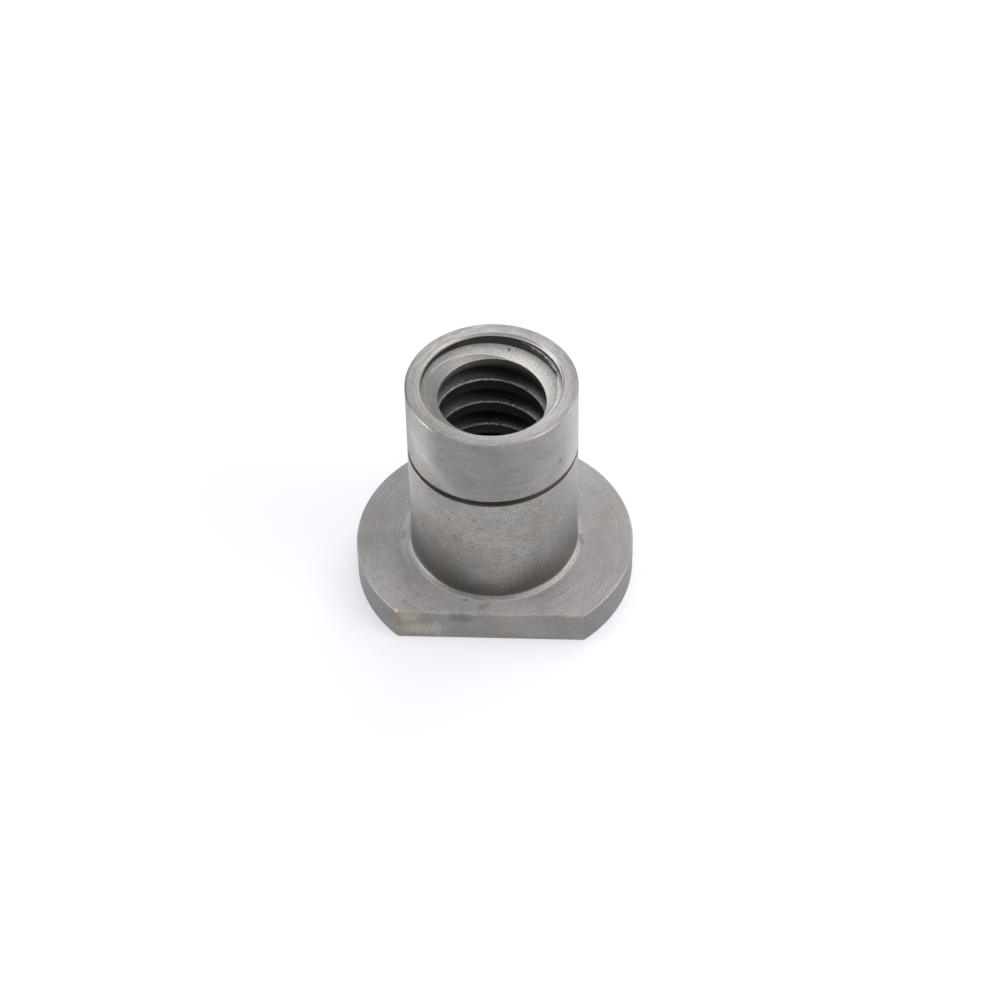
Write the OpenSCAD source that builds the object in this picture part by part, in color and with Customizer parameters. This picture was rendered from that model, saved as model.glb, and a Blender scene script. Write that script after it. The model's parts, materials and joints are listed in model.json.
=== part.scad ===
// Lifting nut with a D-shaped flange and a trapezoidal inside thread.
// Lengths are in millimetres and angles in degrees.
// The axis is Z, the flange's underside is at z = 0 and the flat faces -Y.

/* [Body] */
// height of the nut, from the flange's underside to the rim
nut_h = 41; // [36:0.5:60]
// diameter of the neck
neck_d = 27; // [26:0.5:31]
// break on the outer edges
edge_break = 0.35; // [0.1:0.05:0.6]
// radius of the fillet between the neck and the flange
fillet_r = 1; // [0.3:0.1:2]

/* [Flange] */
// diameter of the flange
flange_d = 45; // [38:0.5:60]
// thickness of the flange
flange_t = 6; // [3:0.5:12]
// distance of the flat from the axis
flat_distance = 16.8; // [15.2:0.1:21]

/* [Ring groove] */
// height of the groove's middle above the underside
groove_z = 28; // [10:0.5:38]
// width of the groove
groove_w = 1.1; // [0.6:0.1:2.4]
// depth of the groove
groove_depth = 0.9; // [0.3:0.1:1.2]

/* [Bore] */
// diameter of the bore over the thread's crests
bore_d = 17; // [14:0.5:17]
// size of the cone at both mouths of the bore, along the axis and across it
mouth_chamfer = 1.75; // [0.5:0.25:2]
// diameter of the counterbore
counterbore_d = 22; // [22:0.1:23.5]
// depth of the counterbore below the rim
counterbore_depth = 1.25; // [0.75:0.25:4]
// chamfer between the counterbore and the rim
rim_chamfer = 0.4; // [0.1:0.05:0.6]

/* [Thread] */
// rise of the thread in one turn
thread_pitch = 5; // [4:0.25:6]
// depth of the thread from crest to root
thread_depth = 2.4; // [1.2:0.1:2.4]
// share of the pitch that the flat crest takes
crest_share = 0.42; // [0.34:0.01:0.48]
// slope of each flank
flank_angle = 15; // [5:1:20]
// angle about the axis at which the groove's middle crosses the underside
thread_start_angle = 104; // [0:1:359]

/* [Hidden] */

// steps of the round shapes in one turn
round_steps = 72;
// steps of the fillet in one turn
fillet_steps = 24;
// steps of the thread in one turn
thread_steps = 36;
// length by which a cut runs past the part, as a share of the pitch
overrun_share = 0.1;
overrun = overrun_share * thread_pitch;

// radii and levels
neck_r = neck_d / 2;
flange_r = flange_d / 2;
bore_r = bore_d / 2;
counterbore_r = counterbore_d / 2;
floor_z = nut_h - counterbore_depth;

// thread section, from inside the bore to the root
cutter_in_r = bore_r - overrun;
cutter_out_r = bore_r + thread_depth;
mouth_w = thread_pitch * (1 - crest_share);
cutter_in_w = mouth_w + 2 * overrun * tan(flank_angle);
cutter_out_w = mouth_w - 2 * thread_depth * tan(flank_angle);

// the cutter starts below the underside and ends above the counterbore's floor
lead_turns = 1;
floor_turns = ceil(floor_z / thread_pitch) + 1;
thread_sections = thread_steps * (lead_turns + floor_turns);
half_step = 180 / thread_steps;

// half section of the plain nut, from the bore outwards
module half_section() {
    difference() {
        polygon([
            [bore_r + mouth_chamfer, 0],
            [flange_r - edge_break, 0],
            [flange_r, edge_break],
            [flange_r, flange_t - edge_break],
            [flange_r - edge_break, flange_t],
            [neck_r + fillet_r, flange_t],
            [neck_r, flange_t + fillet_r],
            [neck_r, groove_z - groove_w / 2],
            [neck_r - groove_depth, groove_z - groove_w / 2],
            [neck_r - groove_depth, groove_z + groove_w / 2],
            [neck_r, groove_z + groove_w / 2],
            [neck_r, nut_h - edge_break],
            [neck_r - edge_break, nut_h],
            [counterbore_r + rim_chamfer, nut_h],
            [counterbore_r, nut_h - rim_chamfer],
            [counterbore_r, floor_z],
            [bore_r + mouth_chamfer, floor_z],
            [bore_r, floor_z - mouth_chamfer],
            [bore_r, mouth_chamfer]
        ]);
        translate([neck_r + fillet_r, flange_t + fillet_r])
            circle(r = fillet_r, $fn = fillet_steps);
    }
}

// section of the solid that removes the flange in front of the flat, seen along X
module flat_section() {
    slope = edge_break + overrun;
    polygon([
        [-flange_r - overrun, -overrun],
        [-flat_distance + slope, -overrun],
        [-flat_distance, edge_break],
        [-flat_distance, flange_t - edge_break],
        [-flat_distance + slope, flange_t + overrun],
        [-flange_r - overrun, flange_t + overrun]
    ]);
}

// solid that leaves the flat with its upper and lower edges broken
module flat_cutter() {
    translate([-flange_r - overrun, 0, 0])
        rotate([90, 0, 90])
            linear_extrude(height = 2 * (flange_r + overrun))
                flat_section();
}

// corners of the thread's groove at one angle
function thread_corners(angle) =
    let (z = thread_pitch * (angle - thread_start_angle) / 360)
    [
        for (c = [
            [cutter_in_r, -cutter_in_w / 2],
            [cutter_out_r, -cutter_out_w / 2],
            [cutter_out_r, cutter_out_w / 2],
            [cutter_in_r, cutter_in_w / 2]
        ])
        [c[0] * cos(angle), c[0] * sin(angle), z + c[1]]
    ];

// helical solid with the shape of the thread's groove
module thread_cutter() {
    first_angle = -360 * lead_turns + half_step;
    points = [
        for (i = [0 : thread_sections])
        for (corner = thread_corners(first_angle + 360 * i / thread_steps))
        corner
    ];
    sides = [
        for (i = [0 : thread_sections - 1])
        for (k = [0 : 3])
        for (face = [
            [4 * i + k, 4 * i + (k + 1) % 4, 4 * i + 4 + k],
            [4 * i + (k + 1) % 4, 4 * i + 4 + (k + 1) % 4, 4 * i + 4 + k]
        ])
        face
    ];
    last = 4 * thread_sections;
    ends = [
        [0, 2, 1],
        [0, 3, 2],
        [last, last + 1, last + 2],
        [last, last + 2, last + 3]
    ];
    polyhedron(points = points, faces = concat(sides, ends), convexity = 2 * floor_turns);
}

// the nut in one piece
module lifting_nut() {
    color([0.58, 0.57, 0.56])
        difference() {
            rotate_extrude($fn = round_steps)
                half_section();
            flat_cutter();
            thread_cutter();
        }
}

lifting_nut();
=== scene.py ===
import json
import math
from types import SimpleNamespace

import bmesh
import bpy
from bpy.props import FloatProperty, FloatVectorProperty, IntProperty, PointerProperty
from mathutils import Matrix, Vector


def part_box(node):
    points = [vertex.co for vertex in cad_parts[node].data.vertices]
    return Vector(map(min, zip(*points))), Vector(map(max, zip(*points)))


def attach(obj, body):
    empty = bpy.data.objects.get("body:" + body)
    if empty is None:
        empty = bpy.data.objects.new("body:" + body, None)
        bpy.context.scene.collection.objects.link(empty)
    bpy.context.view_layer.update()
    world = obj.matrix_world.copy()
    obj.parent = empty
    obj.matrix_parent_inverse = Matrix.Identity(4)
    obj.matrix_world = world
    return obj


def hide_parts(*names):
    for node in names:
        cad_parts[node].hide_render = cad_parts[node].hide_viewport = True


bl_info = {
    "name": "Lifting nut",
    "version": (1, 0, 0),
    "blender": (4, 5, 0),
    "location": "View3D > Sidebar > Lifting nut",
    "description": "Turns a steel lifting nut with a trapezoidal thread and sets it in a white studio",
    "category": "Object",
}

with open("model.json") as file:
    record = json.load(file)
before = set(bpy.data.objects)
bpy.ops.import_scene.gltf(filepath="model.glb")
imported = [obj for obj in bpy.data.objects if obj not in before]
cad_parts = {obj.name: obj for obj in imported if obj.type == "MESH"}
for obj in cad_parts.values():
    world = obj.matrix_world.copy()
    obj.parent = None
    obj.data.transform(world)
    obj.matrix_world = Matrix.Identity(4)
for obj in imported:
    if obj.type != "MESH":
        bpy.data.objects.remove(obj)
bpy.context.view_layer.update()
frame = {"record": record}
NODE = "lifting_nut"
LOW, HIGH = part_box(NODE)
MOUNTS = {mount["name"]: mount for mount in frame["record"]["mounts"]}
MM = 0.001

# Points closer than this are merged
MERGE_DISTANCE = 0.0005 * MM
# Points closer than this to the plane of the flat count as lying in it
FLAT_CUT_DISTANCE = 0.0001 * MM
# Points closer than this to a face count as lying on it
ON_FACE_DISTANCE = 0.01 * MM
# Length by which the thread's cutter runs into the bore
CUTTER_OVERRUN = 0.5 * MM
# Faces that meet at less than this angle are shaded as one
SMOOTH_ANGLE = math.radians(25)
# Least angle between the flat and the flange's round side at their corners
CORNER_ANGLE = math.radians(20)
# Length and width of the square floor, and its gap below the nut
FLOOR_SIZE = 8.0
FLOOR_GAP = 0.02 * MM
# Width of the camera's sensor in millimetres, and the nearest distance that it sees in metres
SENSOR_WIDTH = 36.0
NEAR_CLIP = 0.01


# Sizes and colours


class NutBody(bpy.types.PropertyGroup):
    """Sizes of the turned body"""

    height: FloatProperty(
        name="Height", description="From the flange's underside to the rim",
        default=HIGH[2], unit="LENGTH", precision=5)
    neck_radius: FloatProperty(
        name="Neck radius", description="Outside radius of the neck",
        default=MOUNTS["neck"]["dims"]["r_mm"] * MM, unit="LENGTH", precision=5)
    flange_radius: FloatProperty(
        name="Flange radius", description="Outside radius of the flange",
        default=HIGH[1], unit="LENGTH", precision=5)
    flange_thickness: FloatProperty(
        name="Flange thickness", description="Thickness of the flange",
        default=MOUNTS["flange_seat"]["pos_m"][2], unit="LENGTH", precision=5)
    flat_distance: FloatProperty(
        name="Flat distance", description="Distance of the flange's flat from the axis",
        default=-LOW[1], unit="LENGTH", precision=5)
    fillet: FloatProperty(
        name="Fillet", description="Width and height of the fillet at the foot of the neck",
        default=0.75 * MM, unit="LENGTH", precision=5)
    rim_break: FloatProperty(
        name="Rim break", description="Radius of the rim's rounded outer edge",
        default=0.35 * MM, unit="LENGTH", precision=5)
    flange_break: FloatProperty(
        name="Flange break", description="Radius of the flange's rounded edges",
        default=0.28 * MM, unit="LENGTH", precision=5)
    groove_height: FloatProperty(
        name="Groove height", description="Height of the ring groove's middle",
        default=28.0 * MM, unit="LENGTH", precision=5)
    groove_width: FloatProperty(
        name="Groove width", description="Width of the ring groove",
        default=1.1 * MM, unit="LENGTH", precision=5)
    groove_depth: FloatProperty(
        name="Groove depth", description="Depth of the ring groove",
        default=0.9 * MM, unit="LENGTH", precision=5)
    groove_lip: FloatProperty(
        name="Groove lip", description="Size of the broken edges of the ring groove",
        default=0.04 * MM, unit="LENGTH", precision=6)
    rim_chamfer: FloatProperty(
        name="Rim chamfer", description="Size of the chamfer at the rim's inner edge",
        default=0.4 * MM, unit="LENGTH", precision=5)
    counterbore_radius: FloatProperty(
        name="Counterbore radius", description="Radius of the recess at the rim",
        default=11.0 * MM, unit="LENGTH", precision=5)
    counterbore_depth: FloatProperty(
        name="Counterbore depth", description="Depth of the recess below the rim",
        default=1.25 * MM, unit="LENGTH", precision=5)
    mouth_cone: FloatProperty(
        name="Mouth cone", description="Size of the cone at each mouth of the bore",
        default=1.75 * MM, unit="LENGTH", precision=5)
    steps: IntProperty(
        name="Steps", description="Faces around the body", default=220, min=64, max=512)


class NutThread(bpy.types.PropertyGroup):
    """Sizes of the inside thread"""

    crest_radius: FloatProperty(
        name="Crest radius", description="Radius of the bore over the thread's crests",
        default=MOUNTS["screw_thread"]["dims"]["r_mm"] * MM, unit="LENGTH", precision=5)
    root_radius: FloatProperty(
        name="Root radius", description="Radius at the bottom of the thread's groove",
        default=11.05 * MM, unit="LENGTH", precision=5)
    root_corner: FloatProperty(
        name="Root corner", description="Size of the rounded corners at the bottom of the groove",
        default=0.25 * MM, unit="LENGTH", precision=5)
    pitch: FloatProperty(
        name="Pitch", description="Rise of the thread in one turn",
        default=5.0 * MM, unit="LENGTH", precision=5)
    crest_width: FloatProperty(
        name="Crest width", description="Width of the flat crest along the axis",
        default=2.0 * MM, unit="LENGTH", precision=5)
    crest_break: FloatProperty(
        name="Crest break", description="Size of the broken edges of the crest",
        default=0.1 * MM, unit="LENGTH", precision=6)
    flank_angle: FloatProperty(
        name="Flank angle", description="Slope of each flank",
        default=math.radians(15), subtype="ANGLE")
    start_angle: FloatProperty(
        name="Start angle", description="Angle at which the groove's middle crosses the underside",
        default=math.radians(104), subtype="ANGLE")
    steps: IntProperty(
        name="Steps", description="Faces in one turn of the thread", default=108, min=36, max=240)


class SteelFinish(bpy.types.PropertyGroup):
    """Colours of the satin steel"""

    light: FloatVectorProperty(
        name="Light steel", description="Colour of the bright grains",
        default=(0.39, 0.376, 0.366), size=3, subtype="COLOR")
    # the bright colour also paints highlights on the cone, the crest edges, the flanks at the right, the
    # rim, the neck's right side and the flat's corner
    bright: FloatVectorProperty(
        name="Bright steel", description="Colour of the freshly cut thread edges",
        default=(0.72, 0.70, 0.68), size=3, subtype="COLOR")
    dark: FloatVectorProperty(
        name="Dark steel", description="Colour of the dull grains",
        default=(0.207, 0.20, 0.194), size=3, subtype="COLOR")
    stain: FloatVectorProperty(
        name="Stain", description="Tint of the warm stains on the steel",
        default=(1.0, 0.93, 0.81), size=3, subtype="COLOR")
    cool: FloatVectorProperty(
        name="Cool", description="Tint of the cooler places on the steel",
        default=(0.975, 0.955, 1.0), size=3, subtype="COLOR")
    # the dark colour also paints shade in the bore, on the recess's wall, at the foot of the neck, on the
    # left of the cone and in two spots at the ends of the fillet
    grime: FloatVectorProperty(
        name="Grime", description="Colour of the residue in the bore and the groove",
        default=(0.045, 0.042, 0.037), size=3, subtype="COLOR")
    rust: FloatVectorProperty(
        name="Rust", description="Colour of the rust spots",
        default=(0.24, 0.14, 0.08), size=3, subtype="COLOR")
    ochre: FloatVectorProperty(
        name="Ochre", description="Colour of the pale stains on the flat",
        default=(0.42, 0.38, 0.31), size=3, subtype="COLOR")
    roughness: FloatProperty(
        name="Roughness", description="Mean roughness of the satin surface",
        default=0.56, min=0.0, max=1.0, subtype="FACTOR")
    metallic: FloatProperty(
        name="Metallic", description="Share of bare metal in the dull surface",
        default=0.35, min=0.0, max=1.0, subtype="FACTOR")
    anisotropy: FloatProperty(
        name="Anisotropy", description="How far the turning lines stretch the reflections",
        default=0.85, min=0.0, max=1.0, subtype="FACTOR")
    grain_depth: FloatProperty(
        name="Grain depth", description="Depth of the grains and the tool lines",
        default=0.03 * MM, unit="LENGTH", precision=6)


class NutStudio(bpy.types.PropertyGroup):
    """Floor, light and camera"""

    floor_colour: FloatVectorProperty(
        name="Floor colour", description="Colour of the pale floor",
        default=(0.42, 0.425, 0.435), size=3, subtype="COLOR")
    floor_glow: FloatVectorProperty(
        name="Floor glow", description="Light that comes through the floor from below",
        default=(0.455, 0.463, 0.485), size=3, subtype="COLOR")
    sky_colour: FloatVectorProperty(
        name="Sky colour", description="Colour of the light from all around",
        default=(0.96, 0.98, 1.0), size=3, subtype="COLOR")
    sky_strength: FloatProperty(
        name="Sky strength", description="Strength of the light from all around",
        default=0.43, min=0.0, max=5.0)
    top_power: FloatProperty(
        name="Top light", description="Power of the soft box overhead",
        default=5.5, min=0.0, max=100.0, unit="POWER")
    back_power: FloatProperty(
        name="Back light", description="Power of the soft box behind and above the nut",
        default=4.5, min=0.0, max=100.0, unit="POWER")
    left_power: FloatProperty(
        name="Left light", description="Power of the low soft box on the left",
        default=6.5, min=0.0, max=100.0, unit="POWER")
    right_power: FloatProperty(
        name="Right light", description="Power of the low soft box on the right",
        default=4.0, min=0.0, max=100.0, unit="POWER")
    key_power: FloatProperty(
        name="Key light", description="Power of the high soft box at the front on the right",
        default=4.2, min=0.0, max=100.0, unit="POWER")
    lens: FloatProperty(
        name="Focal length", description="Focal length on a 36 mm sensor, in millimetres",
        default=107.12, min=10.0, max=400.0, unit="CAMERA")
    distance: FloatProperty(
        name="Distance", description="Distance of the camera from its aim",
        default=477.7 * MM, unit="LENGTH", precision=5)
    elevation: FloatProperty(
        name="Elevation", description="Angle of the camera above the floor",
        default=math.radians(46.837), subtype="ANGLE")
    azimuth: FloatProperty(
        name="Azimuth", description="Angle of the camera to the right of the flat",
        default=math.radians(3.0884), subtype="ANGLE")
    roll: FloatProperty(
        name="Roll", description="Tilt of the camera about its own axis",
        default=math.radians(-1.1056), subtype="ANGLE")
    aim: FloatVectorProperty(
        name="Aim", description="Point at the middle of the picture",
        default=(1.0004 * MM, -0.7431 * MM, 15.4545 * MM), size=3, subtype="XYZ", unit="LENGTH")


# Modelling steps


def object_mode():
    """Leaves edit mode"""
    if bpy.context.mode != "OBJECT":
        bpy.ops.object.mode_set(mode="OBJECT")


def deselect_all():
    """Leaves edit mode with nothing selected"""
    object_mode()
    bpy.ops.object.select_all(action="DESELECT")


def make_active(piece):
    """Selects one piece and nothing else"""
    deselect_all()
    piece.select_set(True)
    bpy.context.view_layer.objects.active = piece


def edit_all(piece):
    """Enters edit mode with all of the piece's vertices selected"""
    make_active(piece)
    bpy.ops.object.mode_set(mode="EDIT")
    bpy.ops.mesh.select_mode(type="VERT")
    bpy.ops.mesh.select_all(action="SELECT")


def close_and_face_out(piece):
    """Merges doubled points and turns all faces outwards"""
    edit_all(piece)
    bpy.ops.mesh.remove_doubles(threshold=MERGE_DISTANCE)
    bpy.ops.mesh.normals_make_consistent(inside=False)
    object_mode()


def apply_modifier(piece, modifier):
    """Makes the modifier part of the mesh"""
    make_active(piece)
    bpy.ops.object.modifier_apply(modifier=modifier.name)


def arc(centre, radius, first, last, count):
    """Points of an arc in the section plane, both ends included"""
    points = []
    for i in range(count + 1):
        angle = math.radians(first + (last - first) * i / count)
        points.append((centre[0] + radius * math.cos(angle), centre[1] + radius * math.sin(angle)))
    return points


def draw_section(name, points):
    """Draws a closed line in the XZ plane by extruding one vertex from point to point"""
    deselect_all()
    bpy.ops.mesh.primitive_plane_add(size=MM, location=(points[0][0], 0, points[0][1]))
    piece = bpy.context.active_object
    piece.name = piece.data.name = name
    bpy.ops.object.transform_apply(location=True, rotation=True, scale=True)
    edit_all(piece)
    bpy.ops.mesh.merge(type="CENTER")
    for before, after in zip(points, points[1:]):
        move = (after[0] - before[0], 0, after[1] - before[1])
        bpy.ops.mesh.extrude_region_move(TRANSFORM_OT_translate={"value": move})
    section = bmesh.from_edit_mesh(piece.data)
    for vertex in section.verts:
        vertex.select_set(len(vertex.link_edges) == 1)
    section.select_flush_mode()
    bmesh.update_edit_mesh(piece.data)
    bpy.ops.mesh.edge_face_add()
    object_mode()
    return piece


def body_section(body, thread):
    """Half section of the nut without its thread, from the base's inner edge round to the bore"""
    top = body.height
    neck = body.neck_radius
    bore = thread.crest_radius
    flange = body.flange_thickness
    fillet = body.fillet
    lip = body.groove_lip
    low = body.groove_height - body.groove_width / 2
    high = body.groove_height + body.groove_width / 2
    root = neck - body.groove_depth
    rounding = body.rim_break
    recess = body.counterbore_radius
    chamfer = body.rim_chamfer
    seat = top - body.counterbore_depth
    cone = body.mouth_cone

    # the fillet is flatter than a quarter round: its centre lies two sizes out and two up from the corner
    fillet_centre = (neck + 2 * fillet, flange + 2 * fillet)
    fillet_radius = math.hypot(1, 2) * fillet
    lower_end = 180 + math.degrees(math.atan2(2, 1))
    upper_end = 180 + math.degrees(math.atan2(1, 2))

    points = [(bore + cone, 0), (body.flange_radius, 0), (body.flange_radius, flange)]
    points += arc(fillet_centre, fillet_radius, lower_end, upper_end, 4)
    points += [(neck, low - lip), (neck - lip, low), (root, low)]
    points += [(root, high), (neck - lip, high), (neck, high + lip)]
    points += arc((neck - rounding, top - rounding), rounding, 0, 90, 5)
    points += [(recess + chamfer, top), (recess, top - chamfer)]
    points += [(recess, seat), (bore + cone, seat), (bore, seat - cone), (bore, cone)]
    return points


def turn_body(body, thread):
    """Spins the half section about the axis and cuts the flat"""
    piece = draw_section("nut_body", body_section(body, thread))
    edit_all(piece)
    bpy.ops.mesh.spin(
        steps=body.steps, angle=2 * math.pi, center=(0, 0, 0), axis=(0, 0, 1), use_auto_merge=True)
    close_and_face_out(piece)
    edit_all(piece)
    bpy.ops.mesh.bisect(
        plane_co=(0, -body.flat_distance, 0), plane_no=(0, -1, 0),
        use_fill=True, clear_inner=False, clear_outer=True, threshold=FLAT_CUT_DISTANCE)
    close_and_face_out(piece)
    return piece


def break_flange_edges(piece, body):
    """Bevels the flange's outer edges and the edges of its flat"""
    edit_all(piece)
    bpy.ops.mesh.select_mode(type="EDGE")
    bpy.ops.mesh.select_all(action="DESELECT")
    mesh = bmesh.from_edit_mesh(piece.data)

    def on_flat(vertex):
        return abs(vertex.co.y + body.flat_distance) < ON_FACE_DISTANCE

    def on_round(vertex):
        radius = math.hypot(vertex.co.x, vertex.co.y)
        return abs(radius - body.flange_radius) < 10 * ON_FACE_DISTANCE

    def on_level_face(vertex):
        heights = (0, body.flange_thickness)
        return any(abs(vertex.co.z - height) < ON_FACE_DISTANCE for height in heights)

    for edge in mesh.edges:
        ends = edge.verts
        level = abs(ends[0].co.z - ends[1].co.z) < ON_FACE_DISTANCE
        around = level and all(on_level_face(v) and (on_round(v) or on_flat(v)) for v in ends)
        corner = not level and all(on_flat(v) for v in ends) and edge.calc_face_angle(0) > CORNER_ANGLE
        edge.select_set(around or corner)
    bmesh.update_edit_mesh(piece.data)
    bpy.ops.mesh.bevel(
        offset_type="OFFSET", offset=body.flange_break, segments=4, profile=0.5,
        affect="EDGES", clamp_overlap=False)
    close_and_face_out(piece)


def thread_section(thread):
    """Section of the thread's groove at angle zero, one turn below the base"""
    slope = math.tan(thread.flank_angle)
    half = (thread.pitch - thread.crest_width) / 2
    crest = thread.crest_radius
    cut = thread.crest_break
    root = thread.root_radius
    depth = root - crest
    root_half = half - depth * slope
    corner = thread.root_corner
    middle = -thread.pitch * (1 + thread.start_angle / (2 * math.pi))
    upper = [
        (crest - CUTTER_OVERRUN, half + cut + CUTTER_OVERRUN),
        (crest + cut, half - cut * slope),
        (root - corner, half - (depth - corner) * slope),
        (root - corner * 0.3, root_half + corner * 0.1),
        (root, root_half - corner * 0.6),
    ]
    points = [(radius, middle + away) for radius, away in upper]
    points += [(radius, middle - away) for radius, away in reversed(upper)]
    return points


def cut_thread(piece, body, thread):
    """Sweeps the groove's section along the helix and takes it out of the bore"""
    cutter = draw_section("thread_cutter", thread_section(thread))
    sweep = cutter.modifiers.new("helix", "SCREW")
    sweep.axis = "Z"
    sweep.angle = 2 * math.pi
    sweep.screw_offset = thread.pitch
    sweep.iterations = math.ceil(body.height / thread.pitch) + 2
    sweep.steps = sweep.render_steps = thread.steps
    sweep.use_merge_vertices = False
    apply_modifier(cutter, sweep)
    edit_all(cutter)
    bpy.ops.mesh.fill_holes(sides=0)
    close_and_face_out(cutter)
    cut = piece.modifiers.new("thread", "BOOLEAN")
    cut.operation = "DIFFERENCE"
    cut.solver = "EXACT"
    cut.object = cutter
    apply_modifier(piece, cut)
    make_active(cutter)
    bpy.ops.object.delete()
    close_and_face_out(piece)


def check_closed(piece):
    """Stops the script if a cut left the mesh open"""
    mesh = bmesh.new()
    mesh.from_mesh(piece.data)
    open_edges = sum(not edge.is_manifold for edge in mesh.edges)
    volume = mesh.calc_volume(signed=True)
    mesh.free()
    if open_edges or volume <= 0:
        raise RuntimeError(f"{piece.name} has {open_edges} open edges and a volume of {volume}")


def smooth_faces(piece):
    """Shades the round faces smooth and keeps the flat ones flat"""
    make_active(piece)
    bpy.ops.object.shade_smooth_by_angle(angle=SMOOTH_ANGLE)
    even = piece.modifiers.new("even_normals", "WEIGHTED_NORMAL")
    even.keep_sharp = True
    apply_modifier(piece, even)


# Shader sums


class Wire:
    """A shader value that can be used in sums, where each sum adds a Math node"""

    def __init__(self, graph, socket):
        self.graph = graph
        self.socket = socket

    def sum(self, operation, first, second):
        return self.graph.node("ShaderNodeMath", {"operation": operation}, {0: first, 1: second})

    def __add__(self, other):
        return self.sum("ADD", self, other)

    def __radd__(self, other):
        return self.sum("ADD", other, self)

    def __sub__(self, other):
        return self.sum("SUBTRACT", self, other)

    def __rsub__(self, other):
        return self.sum("SUBTRACT", other, self)

    def __mul__(self, other):
        return self.sum("MULTIPLY", self, other)

    def __rmul__(self, other):
        return self.sum("MULTIPLY", other, self)

    def __pow__(self, other):
        return self.sum("POWER", self, other)

    def __rpow__(self, other):
        return self.sum("POWER", other, self)

    def __abs__(self):
        return self.sum("ABSOLUTE", self, 0.0)


class Graph:
    """Node tree of one material"""

    def __init__(self, material):
        material.use_nodes = True
        self.tree = material.node_tree
        self.tree.nodes.clear()

    def node(self, kind, settings, sockets, output=0):
        """Adds a node, sets it and links it, and returns one of its outputs"""
        node = self.tree.nodes.new(kind)
        for name, value in settings.items():
            setattr(node, name, value)
        for name, value in sockets.items():
            socket = node.inputs[name]
            if isinstance(value, Wire):
                self.tree.links.new(value.socket, socket)
            elif socket.type == "RGBA" and len(value) == 3:
                socket.default_value = (*value, 1.0)
            else:
                socket.default_value = value
        if not node.outputs:
            return None
        return Wire(self, node.outputs[output])

    def rise(self, value, low, high):
        """Zero below low, one above high, smooth between"""
        return self.node(
            "ShaderNodeMapRange", {"interpolation_type": "SMOOTHSTEP"},
            {"Value": value, "From Min": low, "From Max": high})

    def band(self, value, low, high, soft):
        """One between low and high"""
        return self.rise(value, low - soft, low + soft) * (1 - self.rise(value, high - soft, high + soft))

    def noise(self, vector, scale, detail, roughness):
        return self.node(
            "ShaderNodeTexNoise", {},
            {"Vector": vector, "Scale": scale, "Detail": detail, "Roughness": roughness})

    def vector(self, x, y, z):
        return self.node("ShaderNodeCombineXYZ", {}, {0: x, 1: y, 2: z})

    def vector_sum(self, operation, first, second):
        return self.node("ShaderNodeVectorMath", {"operation": operation}, {0: first, 1: second})

    def tint(self, share, first, second):
        return self.node(
            "ShaderNodeMix", {"data_type": "RGBA", "blend_type": "MULTIPLY"},
            {0: share, 6: first, 7: second}, 2)

    def mix(self, share, first, second):
        return self.node(
            "ShaderNodeMix", {"data_type": "RGBA"}, {0: share, 6: first, 7: second}, 2)


# Satin steel


class Place:
    """Where a point lies on the nut, in millimetres and radians, and masks that rise between two limits"""

    def __init__(self, g):
        self.g = g
        place = g.node("ShaderNodeTexCoord", {}, {}, "Object")
        self.point = g.node("ShaderNodeVectorMath", {"operation": "SCALE"}, {0: place, "Scale": 1 / MM})
        self.x = g.node("ShaderNodeSeparateXYZ", {}, {0: self.point}, 0)
        self.y = g.node("ShaderNodeSeparateXYZ", {}, {0: self.point}, 1)
        self.z = g.node("ShaderNodeSeparateXYZ", {}, {0: self.point}, 2)
        self.radius = (self.x * self.x + self.y * self.y) ** 0.5
        self.angle = g.node("ShaderNodeMath", {"operation": "ARCTAN2"}, {0: self.y, 1: self.x})
        normal = g.node("ShaderNodeNewGeometry", {}, {}, "Normal")
        upright = abs(g.node("ShaderNodeSeparateXYZ", {}, {0: normal}, 2))
        self.level = g.rise(upright, 0.5, 0.8)
        self.wall = 1 - self.level

    def right(self, low, high):
        return self.g.rise(self.x, low, high)

    def left(self, low, high):
        return 1 - self.right(low, high)

    def back(self, low, high):
        return self.g.rise(self.y, low, high)

    def front(self, low, high):
        return 1 - self.back(low, high)

    def above(self, low, high):
        return self.g.rise(self.z, low, high)

    def below(self, low, high):
        return 1 - self.above(low, high)

    def outside(self, low, high):
        return self.g.rise(self.radius, low, high)

    def inside(self, low, high):
        return 1 - self.outside(low, high)

    def noise(self, scale, detail, roughness):
        """Noise that is the same in all directions"""
        return self.g.noise(self.point, scale, detail, roughness)

    def wall_noise(self, around, along, roughness=0.6):
        """Noise for the walls, with one scale around the axis and one along it"""
        stretched = self.g.vector(self.x * around, self.y * around, self.z * along)
        return self.g.noise(stretched, 1.0, 2.0, roughness)

    def face_noise(self, across, around, detail=2.0):
        """Noise for the level faces, with one scale across the rings and one around them"""
        stretched = self.g.vector(self.radius * across, self.x * around, self.y * around)
        return self.g.noise(stretched, 1.0, detail, 0.6)


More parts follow.
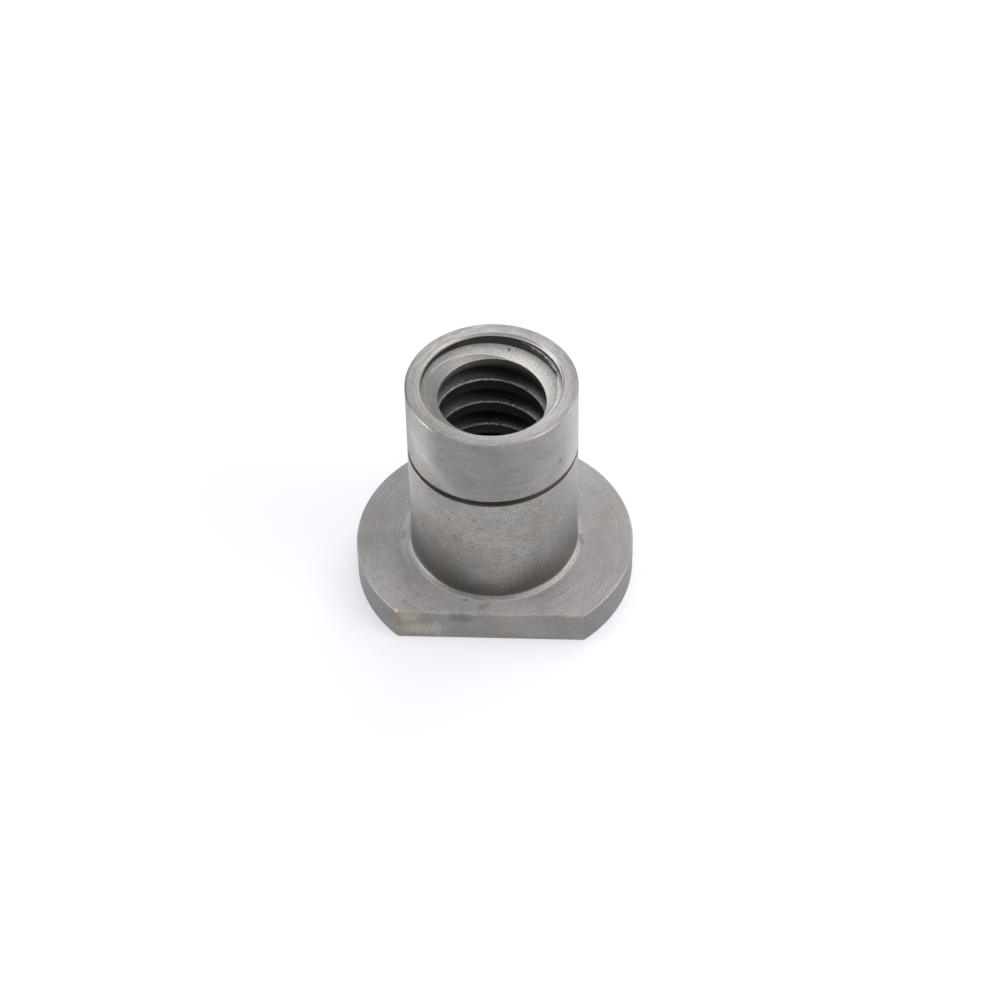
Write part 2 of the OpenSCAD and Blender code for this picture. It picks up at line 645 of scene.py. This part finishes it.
def steel_texture(at):
    """Grains, tool lines, clouds and flecks of the turned steel"""
    g = at.g
    return SimpleNamespace(
        grain=at.wall_noise(2.6, 6.5) * at.wall + at.face_noise(6.0, 2.4) * at.level,
        lines=at.wall_noise(0.2, 7.0) * at.wall + at.face_noise(6.0, 0.14) * at.level,
        dashes=g.rise(at.wall_noise(1.1, 5.5, 0.5), 0.58, 0.66),
        specks=g.rise(at.wall_noise(2.3, 5.0), 0.54, 0.66),
        rim_streaks=at.face_noise(2.5, 0.45, 3.0),
        mottle=at.noise(0.55, 3.0, 0.6),
        cloud=at.noise(0.16, 3.0, 0.5),
        warm=g.rise(at.noise(0.10, 2.0, 0.5), 0.38, 0.68),
        pits=g.rise(at.noise(2.4, 1.0, 0.5), 0.66, 0.74),
        flecks=g.rise(at.noise(4.5, 2.0, 0.6), 0.52, 0.66),
        sparks=g.rise(at.noise(3.0, 2.0, 0.6), 0.44, 0.58),
        ragged=at.noise(1.6, 2.0, 0.7),
        torn=at.noise(1.2, 3.0, 0.7),
    )


def outside_places(at, texture, body):
    """Masks of the flange, the neck and the rim, of their worn edges, and of the places where light and
    shade are painted on them
    """
    g = at.g
    top = body.height / MM
    neck = body.neck_radius / MM
    outer = body.flange_radius / MM
    seat = body.flange_thickness / MM
    flat = -body.flat_distance / MM
    groove = body.groove_height / MM
    recess = body.counterbore_radius / MM
    on = SimpleNamespace()
    on.bore = at.inside(recess + 0.1, recess + 0.3)

    # flange, with painted light on its front left, where smears also lie, and painted shade on its left and
    # its right
    on.flange = at.below(seat, seat + 0.3)
    on.flat = at.front(flat + 0.02, flat + 0.1)
    on.seat_face = on.flange * at.level
    on.flange_side = on.flange * at.wall * (1 - on.flat)
    on.seat_back = on.seat_face * at.back(-12.0, -4.0)
    # painted light on the flange's front left, where the smears are also strongest
    on.front_left = on.seat_face * at.front(-11.0, -5.0) * at.left(2.0, 12.0)
    # painted shade on the flange's left and on its right
    on.left_flange = on.seat_face * at.left(-19.0, -11.0) * at.back(-6.0, 0.0)
    on.right_flange = on.seat_face * at.right(12.0, 18.0) * at.front(4.0, 12.0)
    flange_edge = at.outside(outer - 0.4, outer - 0.1) + at.front(flat + 0.08, flat + 0.3)
    wear = g.rise(texture.grain + texture.cloud * 0.6, 0.6, 0.9)
    on.worn_edge = flange_edge * g.band(at.z, seat - 0.4, seat - 0.02, 0.06) * wear

    # foot of the neck, with painted shade on the fillet's front left, a painted halo of light beside it on
    # the flange, and painted shade low on the neck
    on.foot = g.band(at.radius, neck + 0.1, neck + 0.95, 0.1) * g.band(at.z, seat - 0.1, seat + 0.85, 0.05)
    on.foot_slope = on.foot * at.above(seat + 0.02, seat + 0.1) * at.left(-8.0, 4.0) * at.right(-13.8, -12.0)
    on.foot_halo = on.seat_face * g.band(at.radius, neck + 0.7, neck + 1.8, 0.35) * at.left(-4.0, 6.0)
    on.foot_grime = at.below(seat + 0.6, seat + 9.0) * at.above(seat + 0.5, seat + 0.8)
    on.foot_grime = on.foot_grime * g.band(at.radius, neck - 0.5, neck + 0.1, 0.05)

    # rim
    on.rim = at.above(top - 0.1, top - 0.03)
    on.rim_edge = at.outside(neck - 0.5, neck - 0.25) * g.band(at.z, top - 0.4, top - 0.03, 0.04)
    on.rim_chamfer = at.outside(recess - 0.02, recess + 0.05) * at.inside(recess + 0.48, recess + 0.58)
    on.rim_chamfer = on.rim_chamfer * at.above(top - 0.42, top - 0.34)

    # neck, with painted light on its left below the groove, low at its front and high at its front left, and
    # a painted shadow low on its left
    on.neck = (1 - on.flange) * (1 - on.bore) * (1 - on.rim) * (1 - on.foot)
    on.groove = g.band(at.z, groove - 0.62, groove + 0.62, 0.03)
    on.groove = on.groove * at.inside(neck - 0.04, neck) * (1 - on.bore)
    on.low_neck = at.below(groove - 1.0, groove - 0.4) * at.above(seat + 0.5, seat + 2.0) * (1 - on.bore)
    on.high_neck = on.neck * (1 - on.low_neck)
    on.dashes = texture.dashes * on.low_neck
    on.specks = texture.specks * on.low_neck
    on.left_collar = on.low_neck * at.left(-13.0, -9.0) * at.above(12.0, 22.0)
    on.left_shadow = on.low_neck * at.left(-8.0, 2.0) * at.below(13.0, 22.0)
    on.left_shadow = on.left_shadow * (0.35 + at.right(-13.0, -9.0) * 0.65)
    front_half = at.front(-4.0, 0.0)
    on.front_sheen = on.low_neck * g.band(at.z, 18.0, 25.0, 3.0) * g.band(at.x, -7.0, 5.0, 3.0) * front_half
    slant = at.x - (35.0 - at.z) * 0.9
    on.left_sheen = (1 - on.flange) * (1 - on.bore) * (1 - on.low_neck) * g.band(slant, -12.5, -9.5, 1.3)
    on.left_sheen = on.left_sheen * (1 - at.above(32.5, 35.5) * 0.75) * front_half
    return on


def add_bore_places(on, at, texture, body, thread):
    """Adds the masks of the recess, the cone at the mouth and the thread"""
    g = at.g
    top = body.height / MM
    recess = body.counterbore_radius / MM
    cone = top - (body.counterbore_depth + body.mouth_cone) / MM
    crest = thread.crest_radius / MM
    pitch = thread.pitch / MM
    lead = pitch / (2 * math.pi)

    on.deep = on.bore * at.below(cone - 2.0, cone - 0.4) * (0.4 + at.above(1.0, 3.0) * 0.6)
    # painted shade on the recess's wall
    on.recess_wall = g.band(at.radius, recess - 0.2, recess + 0.15, 0.04) * at.wall
    on.recess_wall = on.recess_wall * g.band(at.z, cone, top - 0.45, 0.05)
    # cut metal and painted light on the cone at the mouth, more on the right and towards the hole
    on.cone = on.bore * at.above(cone - 1.5, cone - 0.5) * at.level
    on.cone = on.cone * (at.right(-9.0, 4.0) * 0.75 + at.right(0.0, 8.0) * 1.3)
    on.cone = on.cone * (1.6 - at.outside(crest + 0.3, recess))
    # painted shade on the left of the cone
    on.left_cone = on.bore * at.left(-9.0, -4.0) * at.above(cone - 0.2, cone)

    # crests and flanks of the thread, with painted light on the flanks at the sides, more on the right
    uneven_radius = at.radius + (texture.ragged - 0.5) * 0.7
    on.crest_edge = g.band(uneven_radius, crest, crest + 0.22, 0.05) * on.bore * at.level
    on.crest_edge = on.crest_edge * at.below(cone - 0.1, cone + 0.1)
    on.crest = at.inside(crest, crest + 0.03) * at.wall
    on.near_crest = at.inside(crest + 0.3, crest + 1.9) * at.level
    on.side_flank = on.near_crest * g.rise(abs(at.x), 2.5, 7.5)
    on.right_flank = on.side_flank * at.right(2.0, 6.0) * at.below(cone - 1.8, cone - 1.0)

    # spiral line on the cone, where the thread's flank meets it, with a painted highlight
    groove_half = (pitch - thread.crest_width / MM) / 2
    turns = (cone + groove_half) / pitch
    first_angle = thread.start_angle + 2 * math.pi * (turns - math.ceil(turns))
    spread = lead / (1 - math.tan(thread.flank_angle))
    from_line = at.radius - (crest + (at.angle - first_angle) * spread)
    on.shoulder = g.band(from_line, -0.06, 0.06, 0.05) * g.band(at.angle, 1.1, 2.85, 0.15)
    on.shoulder = on.shoulder * on.bore * at.above(cone - 0.1, cone) * at.level

    # torn streak on the recess's wall, below the line where the thread's groove runs out
    run_out_at_back = top - 0.33
    below_line = run_out_at_back + (at.angle - math.pi / 2) * lead - at.z
    width = 1.7 - at.angle * 1.35 + (texture.torn - 0.5) * 2.6
    width = width - (1 - g.rise(at.angle, 0.3, 0.5)) * 1.5
    on.torn = g.rise(below_line, 0.0, 0.08) * g.rise(width - below_line, -0.04, 0.04)
    on.torn = on.torn * g.band(at.angle, 0.25, 1.15, 0.03) * at.wall
    on.torn = on.torn * g.band(at.radius, recess - 0.3, recess + 0.15, 0.04)


def steel_shade(at, texture, on):
    """How light the steel is: 0.5 is its mean, and each place adds to it or takes from it, by grain and wear
    and by painted light and shade
    """
    g = at.g
    grain_strength = 2.2 - on.rim * 0.7 - on.neck * 0.8 - on.low_neck * 0.5
    grain_strength = grain_strength - on.seat_face * 0.5 - on.seat_back * 0.6
    line_strength = 0.8 + at.level * 0.4 - on.seat_back * 0.5
    mottle_strength = 0.3 + on.low_neck * 0.2 + on.front_left * 0.9
    surface = (texture.grain - 0.5) * grain_strength + (texture.lines - 0.5) * line_strength
    surface = surface + (texture.mottle - 0.5) * mottle_strength - on.dashes * 0.45 - on.specks * 0.7
    shade = 0.5 + surface * (1 - on.flat * 0.5) + (texture.cloud - 0.5) * 0.8
    # painted light and shade on the rim: darker on the left, lighter on its inner half, and an outer edge
    # lighter at the front and back and darker at the left and right; its streaky tone is its own
    shade = shade + on.rim * (at.right(-10.0, 0.0) * 0.16 - 0.04 + (texture.rim_streaks - 0.5) * 1.1)
    shade = shade + on.rim * (0.16 - at.outside(11.8, 12.9) * 0.22)
    shade = shade + on.rim_edge * (0.25 - g.rise(abs(at.x), 9.0, 12.5) * 0.8)
    shade = shade + on.deep * texture.flecks * 0.6 - texture.pits * (0.1 + on.low_neck * 0.4)
    # worn edges and tones of the steel, and painted light and shade: the flange's front left, left and
    # right, the fillet at the foot and a halo beside it, and the neck's left and front
    lighter_or_darker = [
        (on.worn_edge, 0.5),
        (on.front_left, 0.3),
        (on.left_flange, -0.25),
        (on.right_flange, -0.15),
        (on.flat, -0.2),
        (on.foot_slope, -0.5),
        (on.foot_halo, 0.55),
        (on.neck, -0.09),
        (on.low_neck, 0.18),
        (on.left_collar, 0.3),
        (on.left_shadow, -0.4),
        (on.front_sheen, 0.15),
        (on.left_sheen, 0.35),
    ]
    for place, strength in lighter_or_darker:
        shade = shade + place * strength
    return shade


def fresh_cuts(at, texture, on):
    """Share of bright steel: cut metal on the cone and the crest edges, with painted highlights on the
    cone's right, the crest edges, the flanks at the right, the rim and the neck's right side
    """
    # painted highlights on the crest edges, stronger on the right
    sparks = (0.2 + texture.sparks * 1.1) * (0.4 + at.right(-6.0, 0.0) * 0.6)
    streaks = at.g.rise(texture.rim_streaks, 0.25, 0.7)
    cut = on.cone * (0.12 + texture.grain * 0.24 + texture.flecks * 0.44)
    cut = cut + on.crest_edge * sparks + on.shoulder * 0.55
    cut = cut + on.right_flank * (0.35 + texture.flecks * 0.8)
    # painted highlights on the rim's inner chamfer, the rim's inner right and back, and the neck's right
    # side
    cut = cut + on.rim_chamfer * (0.14 + at.right(3.0, 9.0) * 0.14)
    cut = cut + on.rim * at.inside(12.2, 12.8) * at.right(3.0, 8.0) * 0.06
    cut = cut + on.rim * at.back(0.0, 11.0) * streaks * 0.22
    return cut + on.high_neck * at.right(11.0, 13.5) * 0.32


def residue(at, texture, on):
    """Share of the dark colour: painted shade deep in the bore, on the recess's wall, at the foot of the
    neck and on the left of the cone, soil in the groove, smears on the flange, and a darker round side of
    the flange
    """
    # painted shade deep in the bore, darker higher up; less of it on the crest edges, near the crests and on
    # the flanks at the sides, least on the right; painted shade on the lands of the crests, darker near the
    # mouth
    bore = on.deep * (0.68 + at.above(18.0, 30.0) * 0.14)
    bore = bore * (1 - on.crest_edge * 0.9) * (1 - texture.flecks * on.near_crest * 0.8)
    bore = bore * (1 - on.side_flank * (0.5 + at.right(2.0, 6.0) * 0.5))
    bore = bore + on.crest * (0.12 + at.above(32.0, 35.0) * 0.28)
    # painted shade on the recess's wall, lighter at its right, and at the foot of the neck, darker on the
    # left
    wall = on.recess_wall * (0.85 - at.right(9.9, 10.8) * 0.6)
    foot = on.foot_grime * (0.55 + at.left(-12.0, -4.0) * 0.12)
    # smears on the flange and soil in the groove, painted shade on the left of the cone, and a darker round
    # side of the flange
    smears = on.seat_face * at.g.rise(texture.mottle, 0.5, 0.72) * (0.06 + on.front_left * 0.14)
    return bore + wall + foot + smears + on.groove * 0.25 + on.left_cone * 0.4 + on.flange_side * 0.46


def marks(at, colour, finish, body):
    """Adds the rust spots, stains and nicks, two spots of painted shade at the foot of the neck and a
    painted highlight at the flat's corner, each an uneven spot with a place and size in millimetres
    """
    g = at.g
    seat = body.flange_thickness / MM
    flat = -body.flat_distance / MM
    dark = tuple(finish.grime)
    light = tuple(finish.light)
    bright = tuple(finish.bright)
    rust = tuple(finish.rust)
    ochre = tuple(finish.ochre)
    uneven = (at.noise(1.6, 3.0, 0.6) - 0.5) * 1.6
    spots = [
        ("rust on the flange", (-1.43, -15.46, seat), (1.0, 0.8, 1.0), rust, 0.5),
        ("rust beside it", (-0.75, -14.85, seat), (0.6, 0.5, 1.0), rust, 0.4),
        ("pale corner of the flat", (-13.3, flat, 5.0), (2.6, 0.8, 2.0), ochre, 0.62),
        ("rust at the flat's corner", (-15.0, flat, 3.7), (1.1, 1.0, 2.6), rust, 0.5),
        ("scraped patch on the flat", (-11.0, flat, 2.1), (4.6, 1.0, 1.7), ochre, 0.68),
        ("bright end of the patch", (-8.6, flat, 2.4), (1.1, 0.8, 2.6), light, 0.5),
        ("smudge at the flat's edge", (-4.7, flat, 4.8), (2.8, 0.8, 1.4), dark, 0.42),
        # painted highlight on the flat's corner
        ("bright dent at the corner", (-15.1, -16.4, 5.9), (0.5, 0.4, 0.4), bright, 0.55),
        ("brown spot on the neck", (-5.45, -12.35, 18.9), (1.3, 1.3, 1.3), rust, 0.28),
        ("nick on the left of the neck", (-10.98, -7.85, 17.1), (0.35, 0.35, 0.35), dark, 0.7),
        ("nick below the groove", (-6.48, -11.84, 22.7), (0.4, 0.4, 0.3), dark, 0.6),
        ("nick in the middle", (-2.74, -13.22, 17.8), (0.35, 0.35, 0.3), dark, 0.6),
        ("scratch above the groove", (10.85, -8.04, 32.6), (0.25, 0.25, 0.9), dark, 0.6),
        # two painted spots of shade at the ends of the fillet at the foot of the neck
        ("dirt at the right of the foot", (14.1, -0.4, 6.2), (0.55, 1.7, 0.7), dark, 0.45),
        ("dirt at the left of the foot", (-14.9, 0.0, seat), (0.5, 1.6, 0.7), dark, 0.35),
        ("nick at the front of the flange", (-4.2, -13.95, seat), (0.5, 0.35, 0.4), dark, 0.5),
        ("dot on the cone", (2.3, 10.0, 38.7), (0.4, 0.4, 0.6), dark, 0.8),
        ("stain on the flange", (19.1, 5.7, seat), (3.5, 3.5, 1.0), rust, 0.1),
    ]
    for _, place, size, tint, strength in spots:
        away = g.vector_sum("SUBTRACT", at.point, place)
        away = g.vector_sum("DIVIDE", away, size)
        reach = g.node("ShaderNodeVectorMath", {"operation": "LENGTH"}, {0: away}, "Value")
        spot = 1 - g.rise(reach + uneven, 0.3, 1.0)
        colour = g.mix(spot * strength, colour, tint)
    return colour


def satin_steel(finish, body, thread):
    """Turned steel with grains, tool lines, smears, nicks and a few rust marks, soil in the groove, and
    painted light and shade: shade in the bore and at the foot, highlights on the thread, the rim and the
    neck
    """
    material = bpy.data.materials.new("satin_steel")
    g = Graph(material)
    at = Place(g)
    texture = steel_texture(at)
    on = outside_places(at, texture, body)
    add_bore_places(on, at, texture, body, thread)

    shade = g.rise(steel_shade(at, texture, on), -0.1, 1.1)
    colour = g.mix(shade, finish.dark, finish.light)
    colour = g.mix(fresh_cuts(at, texture, on), colour, finish.bright)
    stained = texture.warm * (0.2 + on.low_neck * 0.35 + on.flat * 0.3) + on.groove * 0.7
    colour = g.tint(stained, colour, finish.stain)
    # cool tint: the flange's own tone, and a painted cool reflection on the right of the upper neck and of
    # the rim
    cooler = on.flange * (1 - on.flat) * 0.7 + on.high_neck * at.right(4.0, 12.0)
    cooler = cooler + on.rim * at.right(0.0, 9.0) * 0.7
    colour = g.tint(cooler, colour, finish.cool)
    colour = g.mix(residue(at, texture, on), colour, finish.grime)
    colour = g.mix(on.torn * 0.8, colour, finish.bright)
    colour = marks(at, colour, finish, body)

    metallic = finish.metallic + (1 - on.flange) * 0.25 + on.neck * 0.25
    roughness = finish.roughness - on.neck * 0.16
    roughness = roughness + (texture.cloud - 0.5) * 0.1 + (texture.grain - 0.5) * 0.14
    height = texture.grain * (0.6 - on.low_neck * 0.35 - on.seat_face * 0.25) + texture.lines * 0.3
    height = height - texture.pits * 0.3 - on.dashes * 0.2 - on.specks * 0.3
    bump = g.node(
        "ShaderNodeBump", {},
        {"Strength": 0.5 + on.bore * 0.4, "Distance": finish.grain_depth, "Height": height})
    surface = {"Base Color": colour, "Metallic": metallic, "Roughness": roughness, "Normal": bump}
    dull = g.node("ShaderNodeBsdfPrincipled", {}, surface)
    turned = g.node(
        "ShaderNodeBsdfPrincipled", {},
        {**surface, "Anisotropic": finish.anisotropy, "Anisotropic Rotation": 0.25})
    shader = g.node("ShaderNodeMixShader", {}, {0: on.high_neck + on.rim, 1: dull, 2: turned})
    g.node("ShaderNodeOutputMaterial", {}, {"Surface": shader})
    return material


# Studio


def pale_floor(studio):
    """Matt pale floor that lets some light through from below, so its shadows stay pale"""
    material = bpy.data.materials.new("pale_floor")
    g = Graph(material)
    shader = g.node(
        "ShaderNodeBsdfPrincipled", {},
        {"Base Color": tuple(studio.floor_colour), "Roughness": 0.85,
         "Emission Color": tuple(studio.floor_glow), "Emission Strength": 1.0})
    g.node("ShaderNodeOutputMaterial", {}, {"Surface": shader})
    return material


def lay_floor(studio):
    """Adds the floor just below the nut"""
    deselect_all()
    bpy.ops.mesh.primitive_plane_add(size=FLOOR_SIZE, location=(0, 0, -FLOOR_GAP))
    floor = bpy.context.active_object
    floor.name = floor.data.name = "floor"
    floor.data.materials.append(pale_floor(studio))


def light_sky(scene, studio):
    """Adds the even light from all around"""
    world = bpy.data.worlds.new("white_tent")
    scene.world = world
    world.use_nodes = True
    sky = world.node_tree.nodes["Background"]
    sky.inputs["Color"].default_value = (*studio.sky_colour, 1.0)
    sky.inputs["Strength"].default_value = studio.sky_strength


def hang_soft_box(name, place, size, power):
    """Adds a square light that faces the nut"""
    bpy.ops.object.light_add(type="AREA", location=place)
    light = bpy.context.active_object
    light.name = light.data.name = name
    light.data.shape = "SQUARE"
    light.data.size = size
    light.data.energy = power
    light.rotation_euler = (-Vector(place)).to_track_quat("-Z", "Y").to_euler()


def place_camera(scene, studio):
    """Adds the camera, turned about its aim"""
    lens = bpy.data.cameras.new("camera")
    lens.lens = studio.lens
    lens.sensor_width = SENSOR_WIDTH
    lens.sensor_fit = "HORIZONTAL"
    lens.clip_start = NEAR_CLIP
    camera = bpy.data.objects.new("camera", lens)
    scene.collection.objects.link(camera)
    around = Matrix.Rotation(studio.azimuth, 4, "Z")
    tilt = Matrix.Rotation(math.pi / 2 - studio.elevation, 4, "X")
    spin = Matrix.Rotation(studio.roll, 4, "Z")
    out = Matrix.Translation((0, 0, studio.distance))
    camera.matrix_world = Matrix.Translation(studio.aim) @ around @ tilt @ spin @ out
    scene.camera = camera
    if scene.camera != camera:
        raise RuntimeError("the studio has no camera")


# Operators


class NUT_OT_turn(bpy.types.Operator):
    """Turn the nut, cut its flat and its thread, and give it its steel"""

    bl_idname = "nut.turn"
    bl_label = "Turn the nut"

    def execute(self, context):
        scene = context.scene
        body, thread = scene.nut_body, scene.nut_thread
        piece = turn_body(body, thread)
        break_flange_edges(piece, body)
        cut_thread(piece, body, thread)
        check_closed(piece)
        smooth_faces(piece)
        piece.data.materials.clear()
        piece.data.materials.append(satin_steel(scene.steel_finish, body, thread))
        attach(piece, "root")
        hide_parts(NODE)
        return {"FINISHED"}


class NUT_OT_studio(bpy.types.Operator):
    """Lay the pale floor, hang the soft light and place the camera"""

    bl_idname = "nut.studio"
    bl_label = "Set the studio"

    def execute(self, context):
        scene = context.scene
        studio = scene.nut_studio
        lay_floor(studio)
        light_sky(scene, studio)
        # place and size of each soft box in metres
        hang_soft_box("top_box", (0.05, 0.1, 1.1), 0.9, studio.top_power)
        hang_soft_box("back_box", (0.35, 0.75, 0.7), 0.8, studio.back_power)
        hang_soft_box("left_box", (-0.9, 0.0, 0.15), 0.5, studio.left_power)
        hang_soft_box("right_box", (0.9, 0.15, 0.15), 0.5, studio.right_power)
        hang_soft_box("key_box", (0.8, -0.3, 0.65), 0.5, studio.key_power)
        place_camera(scene, studio)
        scene.view_settings.view_transform = "Standard"
        return {"FINISHED"}


class NUT_PT_sidebar(bpy.types.Panel):
    """Settings of the nut and its studio"""

    bl_idname = "NUT_PT_sidebar"
    bl_label = "Lifting nut"
    bl_space_type = "VIEW_3D"
    bl_region_type = "UI"
    bl_category = "Lifting nut"

    def draw(self, context):
        scene = context.scene
        groups = [
            ("Body", scene.nut_body), ("Thread", scene.nut_thread),
            ("Steel", scene.steel_finish), ("Studio", scene.nut_studio)]
        for title, group in groups:
            box = self.layout.box()
            box.label(text=title)
            for name in group.__annotations__:
                box.prop(group, name)
        self.layout.operator(NUT_OT_turn.bl_idname)
        self.layout.operator(NUT_OT_studio.bl_idname)


CLASSES = (NutBody, NutThread, SteelFinish, NutStudio, NUT_OT_turn, NUT_OT_studio, NUT_PT_sidebar)


def register():
    """Adds the classes, and the settings to the scene"""
    for cls in CLASSES:
        bpy.utils.register_class(cls)
    bpy.types.Scene.nut_body = PointerProperty(type=NutBody)
    bpy.types.Scene.nut_thread = PointerProperty(type=NutThread)
    bpy.types.Scene.steel_finish = PointerProperty(type=SteelFinish)
    bpy.types.Scene.nut_studio = PointerProperty(type=NutStudio)


def unregister():
    """Takes the settings and the classes away again"""
    del bpy.types.Scene.nut_studio
    del bpy.types.Scene.steel_finish
    del bpy.types.Scene.nut_thread
    del bpy.types.Scene.nut_body
    for cls in reversed(CLASSES):
        bpy.utils.unregister_class(cls)


def main():
    """Builds the nut and its studio"""
    register()
    bpy.ops.nut.turn()
    bpy.ops.nut.studio()


if __name__ == "__main__":
    main()
